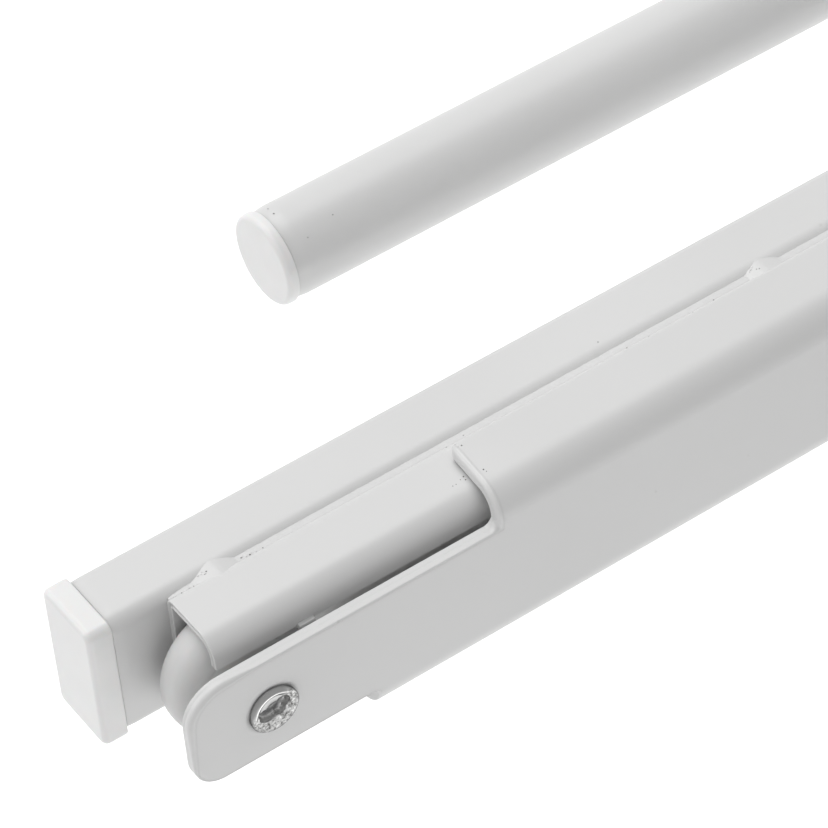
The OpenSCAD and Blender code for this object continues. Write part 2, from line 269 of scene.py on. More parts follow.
def mixNode(tree, factor, a, b):
    inputs = {"Factor": factor, "A": a, "B": b}
    return addNode(tree, "ShaderNodeMix", inputs, data_type="RGBA").outputs["Result"]


def bumpNode(tree, height, distance, strength, **below):
    return addNode(tree, "ShaderNodeBump", {"Height": height, "Distance": distance, "Strength": strength,
                                            **below}).outputs["Normal"]


def newMaterial(name):
    material = bpy.data.materials.new(name)
    material.use_nodes = True
    tree = material.node_tree
    coords = addNode(tree, "ShaderNodeTexCoord").outputs["Object"]
    return material, tree, tree.nodes["Principled BSDF"], coords


paintLook = {
    "light": (0.735, 0.735, 0.732), "dark": (0.71, 0.71, 0.707), "cloud": 0.035,
    "speck": (0.55, 0.545, 0.53), "speckSize": 0.0016, "speckShare": 0.35,
    "rough": (0.32, 0.42), "grain": 0.0007, "grainDeep": 0.000014, "ripple": 0.006, "rippleDeep": 0.00004,
}


def paintMaterial(name, tone, grooveShade, grooveReach):
    # powder coat: fine grain, a slow ripple, a few specks, and painted shade that darkens the colour in grooves
    material, tree, shader, coords = newMaterial(name)
    look = paintLook
    dark, light = ([c*tone for c in look[k]] for k in ("dark", "light"))
    cloud = noiseNode(tree, coords, look["cloud"], 4)
    specks = rampNode(tree, noiseNode(tree, coords, look["speckSize"], 1.0),
                      [(0.81, (0, 0, 0)), (0.85, [look["speckShare"]]*3)])
    dotted = mixNode(tree, specks, rampNode(tree, cloud, [(0.3, dark), (0.7, light)]), (*look["speck"], 1))
    # painted shade: ambient occlusion darkens the paint colour in grooves, seams and next to other parts, down
    # to grooveShade within grooveReach
    grooveOcclusion = addNode(tree, "ShaderNodeAmbientOcclusion", {"Distance": grooveReach}, samples=6)
    depth = rangeNode(tree, grooveOcclusion.outputs["AO"], grooveShade, 1.0)
    shade = addNode(tree, "ShaderNodeVectorMath", {0: dotted, "Scale": depth}, operation="SCALE")
    slow = bumpNode(tree, noiseNode(tree, coords, look["ripple"], 2), look["rippleDeep"], 0.5)
    fine = bumpNode(tree, noiseNode(tree, coords, look["grain"], 3, 0.6), look["grainDeep"], 0.55, Normal=slow)
    feed(tree, shader, {"Base Color": shade.outputs[0], "Roughness": rangeNode(tree, cloud, *look["rough"]),
                        "Normal": fine})
    return material


def plasticMaterial(name, light, dark, rough, streak=(1, 1, 1)):      # moulded: faint flow marks, soft gloss
    material, tree, shader, coords = newMaterial(name)
    flow = addNode(tree, "ShaderNodeMapping", {"Vector": coords, "Scale": streak}).outputs["Vector"]
    cloud = noiseNode(tree, flow, 0.009, 3)
    slow = bumpNode(tree, noiseNode(tree, flow, 0.004, 2), 0.00003, 0.5)
    feed(tree, shader, {
        "Base Color": rampNode(tree, cloud, [(0.32, dark), (0.68, light)]),
        "Roughness": rangeNode(tree, cloud, *rough),
        "Normal": bumpNode(tree, noiseNode(tree, coords, 0.0004, 3), 0.000008, 0.5, Normal=slow),
        "Subsurface Weight": 0.08, "Subsurface Scale": 0.001})
    return material


steelLook = {
    # the near-black colour here stands for tarnish together with painted shade
    "plain": (0.6, 0.6, 0.593), "tarnishAndShade": (0.028, 0.028, 0.03), "cloud": 0.0005,
    "pits": ((0.36, (0.09, 0.088, 0.085)), (0.47, (0.34, 0.34, 0.336)), (0.63, (0.56, 0.56, 0.553))),
    "rough": (0.52, 0.28), "dentDeep": 0.00012, "grainDeep": 0.00002,
}


def steelMaterial(name):      # zinc plated rivet, rough where the end was spun over
    material, tree, shader, coords = newMaterial(name)
    look = steelLook
    # both run from 0 to 1, set point by point where the piece is built
    # the darkening paints tarnish together with painted shade in the hollow and at the foot of the rim, and a
    # painted dark reflection on the smooth flank
    pitted, tarnishAndShade = (addNode(tree, "ShaderNodeAttribute", attribute_name=k).outputs["Fac"]
                       for k in ("pitted", "tarnishAndShade"))
    cloud = noiseNode(tree, coords, look["cloud"], 5, 0.66)
    bright = mixNode(tree, pitted, (*look["plain"], 1), rampNode(tree, cloud, look["pits"]))
    dents = bumpNode(tree, noiseNode(tree, coords, 0.0006, 4, 0.6), look["dentDeep"], pitted)
    feed(tree, shader, {
        "Base Color": mixNode(tree, tarnishAndShade, bright, (*look["tarnishAndShade"], 1)), "Metallic": 1.0,
        "Roughness": rangeNode(tree, cloud, *look["rough"]),
        "Normal": bumpNode(tree, noiseNode(tree, coords, 0.00015, 2), look["grainDeep"], 0.4, Normal=dents)})
    return material


# the last two numbers set each paint's painted shade in grooves: its darkest share and its reach in metres
tubePaint = paintMaterial("tubePaint", 1.0, 0.88, 0.0014)
railPaint = paintMaterial("railPaint", 0.985, 0.86, 0.0008)
capPlastic = plasticMaterial("capPlastic", (0.87, 0.87, 0.866), (0.83, 0.83, 0.826), (0.30, 0.40))
rollerNylon = plasticMaterial("rollerNylon", (0.73, 0.73, 0.726), (0.68, 0.68, 0.676), (0.36, 0.48), (3, 1, 1))
rivetSteel = steelMaterial("rivetSteel")
# dark discs for pinholes and pits: their colour is painted shade standing for the inside of the holes
pinholeShade = plasticMaterial("pinholeShade", (0.12, 0.115, 0.11), (0.05, 0.05, 0.05), (0.7, 0.9))
print("materials made")


def spread(start, length, count):      # evenly spaced places, both ends included
    return [start + length*k/count for k in range(count + 1)]


def angles(count):
    return [2*math.pi*k/count for k in range(count)]


def smoothStep(a, b, t):
    t = min(1, max(0, (t - a)/(b - a)))
    return t*t*(3 - 2*t)


def between(pairs, t):      # straight lines between (place, value) pairs
    for (a, low), (b, high) in zip(pairs, pairs[1:]):
        if a <= t < b:
            return low + (high - low)*(t - a)/(b - a)
    return pairs[-1][1]


def filletPath(corners, closed=True, step=9):
    # corners are (x, y, radius), a closed path runs anticlockwise, and step is in degrees
    path = []
    count = len(corners)
    for i, (x, y, r) in enumerate(corners):
        here = Vector((x, y))
        if r == 0 or (not closed and i in (0, count - 1)):
            path.append(here)
            continue
        back = (Vector(corners[i - 1][:2]) - here).normalized()
        on = (Vector(corners[(i + 1) % count][:2]) - here).normalized()
        half = back.angle(on)/2
        centre = here + (back + on).normalized()*r/math.sin(half)
        spoke = here + back*r/math.tan(half) - centre
        turn = math.pi - 2*half
        if back.x*on.y - back.y*on.x > 0:
            turn = -turn
        for a in spread(0, turn, max(2, round(abs(math.degrees(turn))/step))):
            path.append(centre + Vector((spoke.x*math.cos(a) - spoke.y*math.sin(a),
                                         spoke.x*math.sin(a) + spoke.y*math.cos(a))))
    return path


def insetLoop(loop, amounts):      # moves each point of an anticlockwise loop inwards by its own amount
    moved = []
    for i, here in enumerate(loop):
        e1 = (here - loop[i - 1]).normalized()
        e2 = (loop[(i + 1) % len(loop)] - here).normalized()
        n1, n2 = Vector((-e1.y, e1.x)), Vector((-e2.y, e2.x))
        moved.append(here + (n1 + n2)/(1 + n1.dot(n2))*amounts[i])
    return moved


def roundedRing(x0, z0, x1, z1, r, steps=8, first=None):
    # anticlockwise points of a rounded rectangle; first is the radius of its top outer corner
    ring = []
    for i, (x, z) in enumerate(((x1, z1), (x0, z1), (x0, z0), (x1, z0))):
        q = max(first if first and i == 0 else r, 0.02)
        cx, cz = x - q*(1 if x == x1 else -1), z - q*(1 if z == z1 else -1)
        ring += [(cx + q*math.cos(a), cz + q*math.sin(a)) for a in spread(math.pi/2*i, math.pi/2, steps)]
    return ring


def joinRings(bm, rings, closed=False):
    for k in range(len(rings) if closed else len(rings) - 1):
        a, b = rings[k], rings[(k + 1) % len(rings)]
        for i in range(len(a)):
            j = (i + 1) % len(a)
            corners = []
            for v in (a[i], a[j], b[j], b[i]):
                if v not in corners:
                    corners.append(v)
            if len(corners) > 2:
                bm.faces.new(corners)


def loft(bm, rings, closed=False, caps=False):      # rings of points; a ring of one point is a pole
    count = max(len(ring) for ring in rings)
    made = []
    for ring in rings:
        verts = [bm.verts.new(p) for p in ring]
        made.append(verts if len(verts) == count else verts*count)
    joinRings(bm, made, closed)
    if caps:
        bm.faces.new(made[0])
        bm.faces.new(made[-1])
    return made


def turnedMesh(profile, segments, closed, point):      # profile is [radius, place on the axis]
    rings = []
    for r, along in profile:      # no radius makes a pole
        turns = angles(segments) if r else [0]
        rings.append([point(r*math.cos(a), r*math.sin(a), along) for a in turns])
    bm = bmesh.new()
    loft(bm, rings, closed)
    bmesh.ops.recalc_face_normals(bm, faces=bm.faces)
    return bm


def edgeProfile(thick, outer, inner, line, split=0, deep=None, splitHalf=0.05, away=0.2):
    # (inset, depth) down a cut edge: the fine line that the paint leaves beside it, rounded corner, cut face
    # with the fine split that shearing leaves, rounded corner
    deep = outer if deep is None else deep
    quarter = spread(0, math.pi/2, 5)
    middle, lead = -(deep + thick - inner)/2, splitHalf + 0.08
    score = [(outer + away, 0), (outer + away/2, -line)]
    down = [(outer*(1 - math.sin(a)), -deep*(1 - math.cos(a))) for a in quarter]
    sheared = [(0, middle + lead), (split, middle + splitHalf), (split, middle - splitHalf), (0, middle - lead)]
    under = [(inner*(1 - math.sin(a)), -thick + inner*(1 - math.cos(a))) for a in reversed(quarter)]
    return score + down + sheared + under


def loopEdges(bm, ring):
    pairs = zip(ring, ring[1:] + ring[:1])
    return [bm.edges.get(pair) or bm.edges.new(pair) for pair in pairs]


def roundPatch(centre, profile, segments=64):
    # pressed or drilled place: profile is [radius, depth] from the outer face through to the inner face
    def build(bm):
        rings = loft(bm, [[(centre[0] + r*math.cos(a), centre[1] + r*math.sin(a), w) for a in angles(segments)]
                          for r, w in profile])
        return loopEdges(bm, rings[0]), loopEdges(bm, rings[-1])
    return build


def gridPatch(s0, s1, y0, y1, cells, outer, inner, thick):
    # raised place: outer and inner give the rise of each face over the unit square
    def build(bm):
        n, m = cells
        sides = []
        for rise, w in ((outer, 0), (inner, -thick)):
            grid = [[bm.verts.new((s0 + (s1 - s0)*i/n, y0 + (y1 - y0)*j/m, w + rise(2*i/n - 1, 2*j/m - 1)))
                     for j in range(m + 1)] for i in range(n + 1)]
            for i in range(n):
                for j in range(m):
                    bm.faces.new((grid[i][j], grid[i + 1][j], grid[i + 1][j + 1], grid[i][j + 1]))
            rim = [grid[i][0] for i in range(n)] + [grid[n][j] for j in range(m)]
            rim += [grid[i][m] for i in range(n, 0, -1)] + [grid[0][j] for j in range(m, 0, -1)]
            sides.append(loopEdges(bm, rim))
        return sides
    return build


def foldedSheet(outline, thick, edgeAt, patches, cutsX, cutsY, fold):      # sheet metal: cut flat, then folded
    bm = bmesh.new()
    profiles = [edgeAt(p) for p in outline]
    rings = []
    for steps in zip(*profiles):      # one step down the edge, all the way round
        ring = insetLoop(outline, [inset for inset, depth in steps])
        rings.append([(p.x, p.y, depth) for p, (inset, depth) in zip(ring, steps)])
    made = loft(bm, rings)
    faces = [loopEdges(bm, made[0]), loopEdges(bm, made[-1])]
    for patch in patches:
        for side, edges in zip(faces, patch(bm)):
            side.extend(edges)
    for side in faces:
        bmesh.ops.triangle_fill(bm, use_beauty=True, use_dissolve=False, edges=side, normal=Vector((0, 0, 1)))
    for normal, cuts in ((Vector((1, 0, 0)), cutsX), (Vector((0, 1, 0)), cutsY)):
        for at in cuts:
            bmesh.ops.bisect_plane(bm, geom=bm.verts[:] + bm.edges[:] + bm.faces[:], dist=1e-4,
                                   plane_co=normal*at, plane_no=normal)
    for vert in bm.verts:
        s, y, w = vert.co
        vert.co = fold(s, y, w + thick/2)
    return bm


def stripPoint(s, d, place, along, runs):
    # point of a folded strip's section, s along its middle line and d out from it; each run is a straight
    # length and the radius of the right turn after it, 0 where none follows
    place, along = Vector(place), Vector(along)
    for straight, radius in runs:
        out = Vector((-along.y, along.x))
        if s <= straight or not radius:
            break
        s -= straight
        centre = place + along*straight - out*radius
        if s < radius*math.pi/2:
            return centre + (out*math.cos(s/radius) + along*math.sin(s/radius))*(radius + d)
        s -= radius*math.pi/2
        place, along = centre + along*radius, -out
    return place + along*s + out*d


rivetHole = {"radius": 2.75, "edge": 0.2}


def rivetHolePatch(centre, face, thick, segments=64):      # face is [radius, height] round the hole
    r, e = rivetHole["radius"], rivetHole["edge"]
    profile = [*face, (r, -e), (r, e - thick), (r + e, -thick), (face[0][0], -thick)]
    return roundPatch(centre, profile, segments)


cabinetRail = {
    "sheet": 1.9, "bend": 4.5, "bendCuts": 12,
    # roundings of the cut edges: along them, inside, at the nose, at the cut-out's end, on the top flange
    "edge": 0.22, "innerEdge": 0.22, "noseEdge": 0.75, "cutEdge": 0.72, "freeEdge": 0.5,
    "cutEdgeDeep": 0.8, "freeEdgeDeep": 0.3, "edgeLine": 0.09, "split": 0.03,
    "noseFade": (0.5, 4.5),      # mm behind the nose's corner over which its edge gets as sharp as elsewhere
    "seatHeight": 1.0, "seatMargin": 2.1, "seatRim": 0.55, "holeFirst": 133, "holeLast": 47, "holeRadius": 2.6,
    "cutout": 47.6, "cutoutDepth": 5.2, "cutoutRadius": 1.3, "cutoutSlant": 0.075, "cutoutTip": 1.0,
    "nose": 5.7, "noseLow": 4.2, "noseHeight": 16.35, "toe": 27.3, "toeCorner": 0.8, "toeTip": 1.2, "heel": 1.5,
    "ridgeFromEnd": 395.36, "ridgeRadius": 3.0, "ridgeLength": 5.6,
    "tabMargin": 3.0, "tabBend": 1.0, "tabGap": 1.0, "tabCorner": 1, "slotCorner": 0.8, "slotEnd": 0.49,
    "slotPast": 0.8,
    # the web is a little uneven round the rivet: radius, height
    "uneven": ((5.6, 0), (5.0, 0), (4.55, -0.01), (4.3, 0.0), (4.1, 0.03), (3.9, 0.03), (3.75, 0.0),
               (3.55, -0.05), (3.3, -0.06), (3.0, -0.06)),
}


def cabinetRailMesh():
    c = cabinetRail
    low, high = localBox("cabinet_rail_right")
    axleY, axleZ = middle(*localBox("front_axle_right"))
    t, big = c["sheet"], c["bend"]
    webOut = high.x - c["seatHeight"]
    top, bottom, flangeEdge, front, rear = high.z, low.z, low.x, low.y, high.y
    mid = big - t/2
    arc = mid*math.pi/2
    webMid = webOut - t/2
    sTop = webOut - big - flangeEdge      # free edge of the top flange is 0
    sWeb = sTop + arc
    sFoot = sWeb + (top - bottom - 2*big)
    sUnder = sFoot + arc
    sEnd = sUnder + sTop

    def sOf(z):      # arc length at a height on the web
        return sWeb + (top - big - z)

    noseTop = sOf(top - c["cutoutDepth"])
    noseFoot = sOf(top - c["cutoutDepth"] - c["noseHeight"])
    cutEnd, toeEnd = front + c["cutout"], front + c["toe"]
    tabMid = c["tabBend"] + t/2
    tabStart = rear - c["tabBend"] - t
    tabTip = tabStart + tabMid*math.pi/2 + (webMid - tabMid) - (flangeEdge + 1)
    tabA, tabB = sOf(top - t - c["tabMargin"]), sOf(bottom + t + c["tabMargin"])
    notch = tabStart - c["slotPast"]
    fadeA, fadeB = (front + c["nose"] + y for y in c["noseFade"])

    def cutAt(s):      # the cut-out's end is not quite square to the rail
        return s, cutEnd - c["cutoutSlant"]*(s - 3.8)

    def slot(s, away):      # beside the stop tab, from the rail's end in to the notch
        far = s + away*c["tabGap"]
        return [(far, rear, c["slotCorner"]), (far, notch, c["slotEnd"]), (s, notch, c["slotEnd"])]

    outline = filletPath([
        (noseTop, front, c["nose"]), (noseFoot, front, c["noseLow"]),
        (noseFoot, fadeA, 0), (noseFoot, fadeB, 0), (noseFoot, toeEnd, c["toeCorner"]),
        (sEnd, toeEnd, c["toeTip"]), (sEnd, rear, c["heel"]),
        *slot(tabB, 1), (tabB, tabTip, c["tabCorner"]), (tabA, tabTip, c["tabCorner"]), *slot(tabA, -1)[::-1],
        (0, rear, c["heel"]), (*cutAt(0), c["cutoutTip"]), (*cutAt(1.6), 0),
        (*cutAt(noseTop), c["cutoutRadius"]), (noseTop, fadeB, 0), (noseTop, fadeA, 0)])

    def edgeAt(p):      # rounder at the nose and on the cut-out's end, whose corner is mitred on the outer face
        outer, deep = c["edge"], None
        if p.x < 0.3 and p.y > cutEnd + 1:      # along the free edge of the top flange
            return edgeProfile(t, c["freeEdge"], c["innerEdge"], 0, c["split"], c["freeEdgeDeep"], away=0.04)
        if p.y < fadeB:
            forward = smoothStep(0.6, 1.5, (noseFoot - p.x)/c["noseLow"])      # the lower edge stays sharp
            outer += (c["noseEdge"] - c["edge"])*(1 - smoothStep(fadeA, fadeB, p.y))*forward
        elif p.x < noseTop + 0.01 and p.y < cutEnd + 1:
            r = c["cutoutRadius"]
            across, along = max(0, p.x - noseTop + r), max(0, p.y - cutAt(p.x)[1] + r)
            if across > 0.001 and along > 0.001:
                outer = min((r + c["edge"])*r/across, (r + c["cutEdge"])*r/along) - r
            elif along > 0.001:
                outer += (c["cutEdge"] - c["edge"])*smoothStep(0, 0.85, p.x)
            deep = min(outer, c["cutEdgeDeep"])
        return edgeProfile(t, outer, c["innerEdge"], c["edgeLine"], c["split"], deep)

    seat = (sFoot - sWeb)/2 - c["seatMargin"]
    rim, up, dish, hole = seat + c["seatRim"], c["seatHeight"], seat - (math.sqrt(2) - 1)*t, c["holeRadius"]
    seatProfile = filletPath([
        (rim, 0, 0), (seat, 0, 0.7), (seat - up, up, 0.5), (hole, up, 0.3), (hole, up - t, 0.25),
        (dish - up, up - t, 0.5), (dish, -t, 0.7), (rim, -t, 0)], closed=False, step=18)
    first, last = front + c["holeFirst"], rear - c["holeLast"]
    patches = [roundPatch((sOf((top + bottom)/2), y), seatProfile) for y in (first, (first + last)/2, last)]
    patches.append(rivetHolePatch((sOf(axleZ), axleY), c["uneven"], t))

    def ridgeUnder(u, v):      # hollow seen from below
        return -0.97*ridge*max(0, math.cos(math.pi*min(1, abs(v)*1.45)/2))**0.9*max(0, 1 - abs(u)**6)**0.7

    def ridgeOver(u, v):      # ridge seen from inside the channel
        return -0.99*ridge*max(0, 1 - abs(v)**2.2)**0.62*max(0, 1 - abs(u)**8)**0.6

    ridge, ridgeY = c["ridgeRadius"], rear - c["ridgeFromEnd"]
    ridgeA = sUnder + (webOut - big) - (flangeEdge + 1 + c["ridgeLength"])
    patches.append(gridPatch(ridgeA, ridgeA + c["ridgeLength"], ridgeY - ridge, ridgeY + ridge, (20, 28),
                             ridgeUnder, ridgeOver, t))

    def fold(s, y, d):
        x, z = stripPoint(s, d, (flangeEdge, top - t/2), (1, 0), ((sTop, mid), (sFoot - sWeb, mid), (sTop, 0)))
        if y > tabStart and tabA - 0.01 <= s <= tabB + 0.01:      # stop tab, bent inwards
            a = min((y - tabStart)/tabMid, math.pi/2)
            past = max(0, y - tabStart - tabMid*math.pi/2)
            x = webMid - tabMid + (tabMid + d)*math.cos(a) - past
            y = tabStart + (tabMid + d)*math.sin(a)
        return Vector((x, y, z))

    cutsX = spread(sTop, arc, c["bendCuts"]) + spread(sFoot, arc, c["bendCuts"])
    return foldedSheet(outline, t, edgeAt, patches, cutsX, spread(tabStart, tabMid*math.pi/2, 8), fold)


makePair(cabinetRailMesh, "cabinetRail", railPaint, "cabinet", "rail_paint", "cabinet_rail")
print("cabinet rails made")


rackRail = {
    "sheet": 1.1, "innerBend": 1.5, "lipBend": 3.2, "bendCuts": 10, "lip": 4.9, "lipRise": 0.4,
    "edge": 0.14, "split": 0.15, "frontSplit": 0.32, "tailRadius": 7.0, "tailTop": 0.9, "looseFrom": 0.6,
    "looseLength": 1.7,
    "pipPlace": 21.3, "pipLength": 2.4, "pipHeight": 0.85, "pipOut": 0.6, "pipEdge": 0.12,
}


def rackRailMesh():
    c = rackRail
    low, high = localBox("rack_rail_right")
    axleY, axleZ = middle(*localBox("rear_axle_right"))
    t, r1, r2 = c["sheet"], c["innerBend"], c["lipBend"]
    wide, tall, front, rear = high.x - c["pipOut"], -low.z, low.y, high.y
    topEnd = tubeLength      # the top and the lip end with the side tube
    m1, m2 = r1 - t/2, r2 - t/2
    sBend = tall - r1
    sTop = sBend + m1*math.pi/2
    sLip = sTop + wide - r1 - r2
    sRise = sLip + m2*math.pi/2 + c["lip"] - r2 - c["lipRise"]      # the lip's lower edge, above the pip
    sTail = tall - c["tailTop"]
    outline = filletPath([
        (0, front, 1.2), (sRise, front, 0.35), (sRise, topEnd, 0.9), (sTail, topEnd, 1.2),
        (sTail, rear, c["tailRadius"]), (0, rear, c["tailRadius"])])
    patches = [rivetHolePatch((tall + axleZ, axleY), ((5.8, 0), (3.0, 0)), t, 48)]
    loose = (topEnd - c["looseFrom"], c["looseLength"])      # where the first bend opens out

    def fold(s, y, d):
        bent = 1 - smoothStep(loose[0], sum(loose), y)      # the tail of the web stays flat
        opened = m1 if s >= sTop else m1/bent if bent >= 0.02 else 0
        x, z = stripPoint(s, d, (t/2, -tall), (0, 1), ((sBend, opened), (wide - r1 - r2, m2), (c["lip"], 0)))
        return Vector((x, y, z))

    cutsX = spread(sBend, m1*math.pi/2, c["bendCuts"]) + spread(sLip, m2*math.pi/2, c["bendCuts"])
    edges = [edgeProfile(t, c["edge"], c["edge"], 0, split, splitHalf=half, away=0.06)
             for split, half in ((c["split"], 0.05), (c["frontSplit"], 0.17))]
    bm = foldedSheet(outline, t, lambda p: edges[p.y < front + 0.01], patches, cutsX, spread(*loose, 5), fold)
    e, halfPip, zPip = c["pipEdge"], c["pipLength"]/2, -c["lip"] + 0.02
    rings = []
    for inset, along in ((e, -halfPip), (0, e - halfPip), (0, halfPip - e), (e, halfPip)):
        ring = roundedRing(wide - 0.5 + inset, zPip + inset, high.x - inset, zPip + c["pipHeight"] - inset, e)
        rings.append([(x, c["pipPlace"] + along, z) for x, z in ring])
    loft(bm, rings, caps=True)
    return bm


makePair(rackRailMesh, "rackRail", tubePaint, "rack", "rail_paint", "rack_rail")
print("rack rails made")


tubeShape = {
    "wall": 1.2, "corner": 1.6, "weldedCorner": 2.2, "edge": 0.2, "capSeam": 0.16, "holePlay": 0.1,
    "cutPast": 3,      # how far the cutters of the rods' holes stand out of the bar
    # a side tube is drawn in a little at both ends: share of the edge, distance from the end
    "taper": ((1, 0), (0.55, 0.12), (0.35, 0.35), (0.15, 0.8), (0.04, 1.3), (0, 1.8)),
}


def sideTubeMesh():
    c = tubeShape
    low, high = localBox("side_tube_right")
    e, w, start, end = c["edge"], c["wall"], c["capSeam"], tubeLength - c["capSeam"]
    steps = [(e*share, start + y) for share, y in c["taper"]]
    steps += [(0, y) for y in spread(0, tubeLength, 24)[1:-1]]
    steps += [(e*share, end - y) for share, y in reversed(c["taper"])]
    rings = []
    for inset, y in steps + [(w, end), (w, start)]:      # the last two are the inside wall
        ring = roundedRing(low.x + inset, low.z + inset, -inset, -inset, c["corner"] - inset, 10,
                           c["weldedCorner"] - inset)
        rings.append([(x, y, z) for x, z in ring])
    bm = bmesh.new()
    loft(bm, rings, closed=True)
    return bm


def crossbarMesh(node):
    low, high = localBox(node)
    e, w, r = tubeShape["edge"], tubeShape["wall"], tubeShape["corner"]
    rings = []
    for inset, x in ((e, low.x), (0, low.x + e), (0, high.x - e), (e, high.x), (w, high.x), (w, low.x)):
        ring = roundedRing(low.y + inset, low.z + inset, high.y - inset, high.z - inset, r - inset)
        rings.append([(x, y, z) for y, z in ring])
    bm = bmesh.new()
    loft(bm, rings, closed=True)
    bmesh.ops.recalc_face_normals(bm, faces=bm.faces)
    return bm


rodNodes = sorted((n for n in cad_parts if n.startswith("rod_") and n[4:].isdigit()),
                  key=lambda n: int(n[4:]))
capNodes = ["rod_cap_" + n[4:] for n in rodNodes]
rodBoxes = [localBox(n) for n in rodNodes]
rodCentres = [(low.x + high.x)/2 for low, high in rodBoxes]
rodLow, rodHigh = rodBoxes[0]
rodRadius = (rodHigh.x - rodLow.x)/2
rodZ = (rodLow.z + rodHigh.z)/2
barLow, barHigh = localBox("front_crossbar")


def rodRing(x, r, y, count=64):
    return [(x + r*math.cos(a), y, rodZ + r*math.sin(a)) for a in angles(count)]


def drilledBar():
    r, past = rodRadius + tubeShape["holePlay"], tubeShape["cutPast"]
    cutter = bmesh.new()
    for x in rodCentres:
        loft(cutter, [rodRing(x, r, y) for y in (barLow.y - past, barHigh.y + past)], caps=True)
    bmesh.ops.recalc_face_normals(cutter, faces=cutter.faces)
    bar = link("bar", toMesh(crossbarMesh("front_crossbar"), "bar"))
    holes = link("holes", toMesh(cutter, "holes"))
    mod = bar.modifiers.new("holes", "BOOLEAN")
    mod.operation = "DIFFERENCE"
    mod.solver = "EXACT"
    mod.object = holes
    settleModifiers(bar)
    drilled = bmesh.new()
    drilled.from_mesh(bar.data)
    for piece in (bar, holes):
        bpy.data.objects.remove(piece)
    return drilled


makePair(sideTubeMesh, "sideTube", tubePaint, "rack", "tube_paint", "side_tube")
makePiece(crossbarMesh("rear_crossbar"), "rearCrossbar", tubePaint, "rack", "tube_paint", ["rear_crossbar"])
makePiece(drilledBar(), "frontCrossbar", tubePaint, "rack", "tube_paint", ["front_crossbar"], sharp=50)
print("tubes made")


tubeCap = {"round": 0.9, "rim": 0.18, "plugGap": 1.3, "plugWall": 1.5, "plug": 10.0, "corner": 1.3}


def tubeCapMesh(node, inward):      # inward is +1 on the front cap, whose face looks to the front
    c = tubeCap
    low, high = localBox(node)
    tube = localBox("side_tube_right")
    face = low.y if inward > 0 else high.y
    thick = high.y - low.y - c["plug"]
    b, e, end = c["round"], c["rim"], thick + c["plug"]
    rings = []

    def ring(low, high, inset, y, r):
        points = roundedRing(low.x + inset, low.z + inset, high.x - inset, high.z - inset, r)
        rings.append([(x, face + inward*y, z) for x, z in points])

    for a in spread(0, math.pi/2, 9):
        inset = b*(1 - math.sin(a))
        ring(low, high, inset, b*(1 - math.cos(a)), c["corner"] - 0.75*inset)
    for a in spread(0, math.pi/2, 3):
        inset = e*(1 - math.cos(a))
        ring(low, high, inset, thick - e + e*math.sin(a), max(c["corner"] - inset, 0.4))
    for inset, y, r in ((0, thick, 0.6), (0, end - 0.5, 0.6), (0.3, end, 0.5), (c["plugWall"], end, 0.3),
                        (c["plugWall"], thick - 1.0, 0.3)):
        ring(*tube, c["plugGap"] + inset, y, r)
    bm = bmesh.new()
    loft(bm, rings, caps=True)
    return bm


for end, inward in (("front", 1), ("rear", -1)):
    makePair(lambda: tubeCapMesh(end + "_cap_right", inward), end + "Cap", capPlastic, "rack", "cap_plastic",
             end + "_cap")
print("tube caps made")


hangerRod = {"wall": 1.0, "edge": 0.2, "drawnIn": 0.3, "drawnLength": 2.2, "capSeam": 0.16, "segments": 72}
rodCap = {"round": 0.8, "rim": 0.12, "crown": 0.04, "plugWall": 1.5, "plugGap": 0.1, "hollowPast": 0.2,
          "segments": 72}


def rodMesh(x):
    c = hangerRod
    r, w, e = rodRadius, c["wall"], c["edge"]
    y0, y1 = rodLow.y + c["capSeam"], rodHigh.y
    d, reach = c["drawnIn"], c["drawnLength"]      # the end is drawn in a little towards the cap
    profile = [(r - d - 0.12, y0), (r - d - 0.04, y0 + 0.03)]
    profile += [(r - d*(1 - k/8)**1.7, y0 + 0.1 + reach*k/8) for k in range(9)]
    profile += [(r, y) for y in spread(y0, y1 - y0, 12)[1:-1]]
    profile += [(r, y1 - e), (r - e, y1), (r - w, y1), (r - w, y0)]
    return turnedMesh(profile, c["segments"], True, lambda across, up, y: (x + across, y, rodZ + up))


def rodCapMesh(x):
    c = rodCap
    low, high = localBox(capNodes[0])
    R, b, e, crown = (high.x - low.x)/2, c["round"], c["rim"], c["crown"]
    z = (low.z + high.z)/2
    face, seam, plugEnd = low.y, rodLow.y, high.y
    plug = rodRadius - hangerRod["wall"] - c["plugGap"]
    inside = plug - c["plugWall"]
    profile = [(0, face), (R*0.35, face + crown*0.25), (R*0.7, face + crown*0.75)]
    for a in spread(0, math.pi/2, 9):
        profile.append((R - b + b*math.sin(a), face + crown + (b - crown)*(1 - math.cos(a))))
    profile += [(R - e + e*math.cos(a), seam - e + e*math.sin(a)) for a in spread(0, math.pi/2, 3)]
    hollow = seam - c["hollowPast"]
    profile += [(plug, seam), (plug, plugEnd - 0.4), (plug - 0.3, plugEnd), (inside, plugEnd),
                (inside, hollow), (0, hollow)]
    return turnedMesh(profile, c["segments"], False, lambda across, up, y: (x + across, y, z + up))


def nodeTree(name, **inputs):      # a Geometry Nodes group and its inputs' sockets
    tree = bpy.data.node_groups.new(name, "GeometryNodeTree")
    for label, kind in (("Geometry", "Geometry"), *inputs.items(), ("Finish", "Material")):
        tree.interface.new_socket(label, in_out="INPUT", socket_type="NodeSocket" + kind)
    tree.interface.new_socket("Geometry", in_out="OUTPUT", socket_type="NodeSocketGeometry")
    return tree, addNode(tree, "NodeGroupInput").outputs


def finishTree(tree, given, geometry):
    real = addNode(tree, "GeometryNodeRealizeInstances", {"Geometry": geometry})
    finish = addNode(tree, "GeometryNodeSetMaterial", {"Geometry": real.outputs[0],
                                                       "Material": given["Finish"]})
    addNode(tree, "NodeGroupOutput", {"Geometry": finish.outputs[0]})
    return tree


